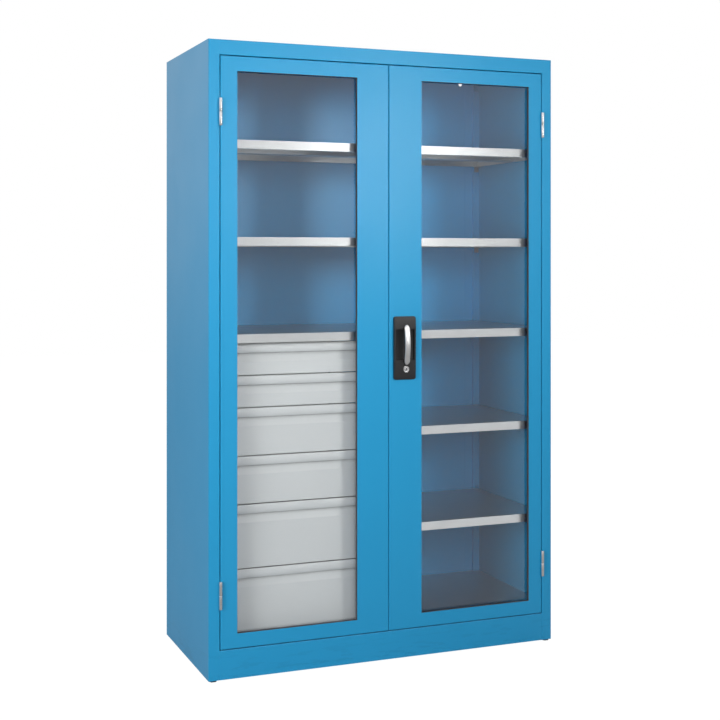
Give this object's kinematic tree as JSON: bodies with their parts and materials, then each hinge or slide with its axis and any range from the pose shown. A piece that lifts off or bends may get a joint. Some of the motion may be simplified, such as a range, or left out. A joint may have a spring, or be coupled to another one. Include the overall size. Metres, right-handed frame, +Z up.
{
  "type": "storage cabinet",
  "caption": "Steel storage cabinet with glazed hinged doors, adjustable shelves, a bank of drawers at the lower left, and a lever handle that throws two lock rods.",
  "frame": {"origin": "on the floor, below the middle of the overall width and depth, with the lever counted in the depth", "axes": "+X to the user's right as they face the doors, +Y towards the back panel, +Z up"},
  "size_m": [1.2, 0.5268, 1.95],
  "materials": {
    "blue_paint": "satin powder coat",
    "white_paint": "satin powder coat",
    "zinc": "zinc plated",
    "galvanised": "galvanised sheet",
    "steel": "plain bright steel",
    "handle_plastic": "fine matt moulding",
    "nylon": "natural nylon",
    "rubber": "matt",
    "clear_glass": "clear"
  },
  "bodies": {
    "cabinet": {"side_wall_left": "blue_paint", "side_wall_right": "blue_paint", "stile_left": "blue_paint", "stile_right": "blue_paint", "back_panel": "blue_paint", "top_panel": "blue_paint", "base_floor": "blue_paint", "plinth_panel": "blue_paint", "front_post_left": "blue_paint", "front_post_right": "blue_paint", "rear_post_left": "blue_paint", "rear_post_right": "blue_paint", "drawer_housing_wall": "blue_paint", "centre_divider": "blue_paint", "shelf_upper": "galvanised", "shelf_middle": "galvanised", "shelf_lower": "galvanised", "half_shelf_upper": "galvanised", "half_shelf_lower": "galvanised", "shelf_clips": "zinc", "levelling_feet": "steel", "foot_gussets": "blue_paint", "frame_hinge_halves": "zinc", "drawer_runners": "zinc", "rod_keepers": "zinc", "door_buffers": "rubber"},
    "left_door": {"left_door_shell": "blue_paint", "left_door_pane": "clear_glass", "left_door_gasket": "rubber", "left_door_retainer": "blue_paint", "left_door_hinge_halves": "zinc"},
    "right_door": {"right_door_shell": "blue_paint", "right_door_pane": "clear_glass", "right_door_gasket": "rubber", "right_door_retainer": "blue_paint", "right_door_hinge_halves": "zinc", "handle_plate": "handle_plastic", "lock_case": "zinc", "rod_guides": "nylon", "lock_cylinder": "steel"},
    "lever": {"lever_bow": "steel", "lock_spindle": "steel", "lock_pinion": "steel", "latch_cam": "zinc"},
    "upper_rod": {"upper_rod": "zinc"},
    "lower_rod": {"lower_rod": "zinc"},
    "lock_plug": {"lock_plug": "steel"},
    "drawer_1": {"drawer_box_1": "white_paint", "drawer_front_1": "white_paint"},
    "drawer_2": {"drawer_box_2": "white_paint", "drawer_front_2": "white_paint"},
    "drawer_3": {"drawer_box_3": "white_paint", "drawer_front_3": "white_paint"},
    "drawer_4": {"drawer_box_4": "white_paint", "drawer_front_4": "white_paint"},
    "drawer_5": {"drawer_box_5": "white_paint", "drawer_front_5": "white_paint"},
    "drawer_6": {"drawer_box_6": "white_paint", "drawer_front_6": "white_paint"}
  },
  "joints": [
    {"name": "left_door_hinge", "type": "hinge", "parent": "cabinet", "child": "left_door", "pos_m": [-0.5633, -0.2422, 1], "axis": [0, 0, -1], "range_deg": [0, 180]},
    {"name": "right_door_hinge", "type": "hinge", "parent": "cabinet", "child": "right_door", "pos_m": [0.5633, -0.2422, 1], "axis": [0, 0, 1], "range_deg": [0, 180]},
    {"name": "lever_turn", "type": "hinge", "parent": "right_door", "child": "lever", "pos_m": [0.056, -0.2366, 1.0625], "axis": [0, -1, 0], "range_deg": [0, 90]},
    {"name": "upper_rod_slide", "type": "slide", "parent": "right_door", "child": "upper_rod", "axis": [0, 0, 1], "range_m": [0, 0.01885]},
    {"name": "lower_rod_slide", "type": "slide", "parent": "right_door", "child": "lower_rod", "axis": [0, 0, -1], "range_m": [0, 0.01885]},
    {"name": "key_turn", "type": "hinge", "parent": "right_door", "child": "lock_plug", "pos_m": [0.056, -0.2366, 0.929], "axis": [0, -1, 0], "range_deg": [0, 90]},
    {"name": "drawer_1_slide", "type": "slide", "parent": "cabinet", "child": "drawer_1", "axis": [0, -1, 0], "range_m": [0, 0.3]},
    {"name": "drawer_2_slide", "type": "slide", "parent": "cabinet", "child": "drawer_2", "axis": [0, -1, 0], "range_m": [0, 0.3]},
    {"name": "drawer_3_slide", "type": "slide", "parent": "cabinet", "child": "drawer_3", "axis": [0, -1, 0], "range_m": [0, 0.3]},
    {"name": "drawer_4_slide", "type": "slide", "parent": "cabinet", "child": "drawer_4", "axis": [0, -1, 0], "range_m": [0, 0.3]},
    {"name": "drawer_5_slide", "type": "slide", "parent": "cabinet", "child": "drawer_5", "axis": [0, -1, 0], "range_m": [0, 0.3]},
    {"name": "drawer_6_slide", "type": "slide", "parent": "cabinet", "child": "drawer_6", "axis": [0, -1, 0], "range_m": [0, 0.3]}
  ],
  "couplings": [
    {"joint": "upper_rod_slide", "follows": "lever_turn", "m_per_rad": 0.012},
    {"joint": "lower_rod_slide", "follows": "lever_turn", "m_per_rad": 0.012},
    {"joint": "drawer_1_slide", "follows": "left_door_hinge", "m_per_rad": 0.095493},
    {"joint": "drawer_2_slide", "follows": "left_door_hinge", "m_per_rad": 0.095493},
    {"joint": "drawer_3_slide", "follows": "left_door_hinge", "m_per_rad": 0.095493},
    {"joint": "drawer_4_slide", "follows": "left_door_hinge", "m_per_rad": 0.095493},
    {"joint": "drawer_5_slide", "follows": "left_door_hinge", "m_per_rad": 0.095493},
    {"joint": "drawer_6_slide", "follows": "left_door_hinge", "m_per_rad": 0.095493}
  ]
}
